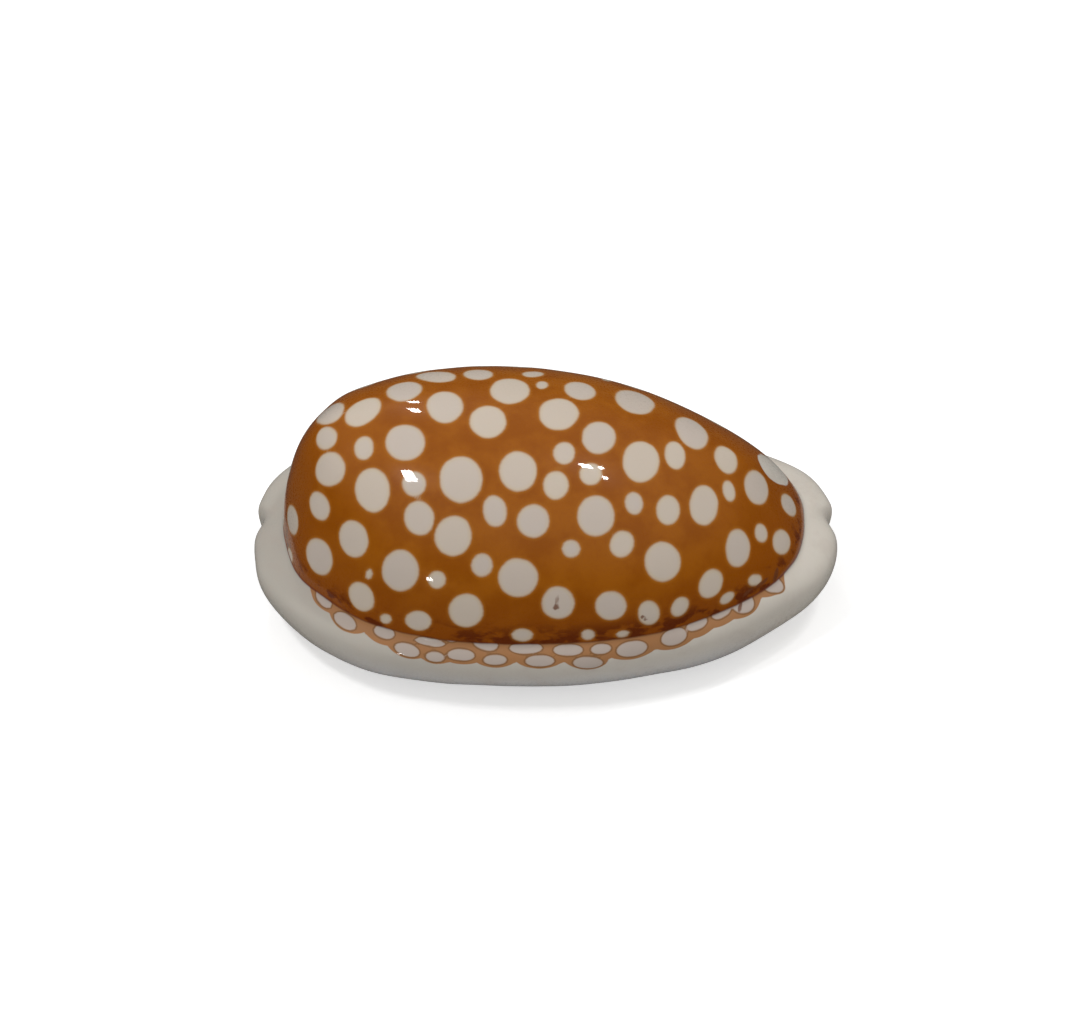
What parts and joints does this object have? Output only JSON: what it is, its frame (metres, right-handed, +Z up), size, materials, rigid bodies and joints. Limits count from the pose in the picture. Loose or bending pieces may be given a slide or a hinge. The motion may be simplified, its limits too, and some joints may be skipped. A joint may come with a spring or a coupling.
{
  "type": "cowrie shell",
  "caption": "Glossy egg-shaped sea shell with a spotted dome on a white callus collar, and a long toothed mouth under it that opens into a hollow.",
  "frame": {"origin": "on the surface that the shell rests on, under the middle of its outline", "axes": "+X to the narrow front end, +Z up to the crest of the dome, -Y to the side of the outer lip"},
  "size_m": [0.026, 0.0154, 0.0112],
  "materials": {
    "shell": "natural glossy shell, orange-brown with round cream-white spots on the dome and white on the collar and base"
  },
  "bodies": {
    "root": {"shell": "shell"}
  },
  "joints": []
}
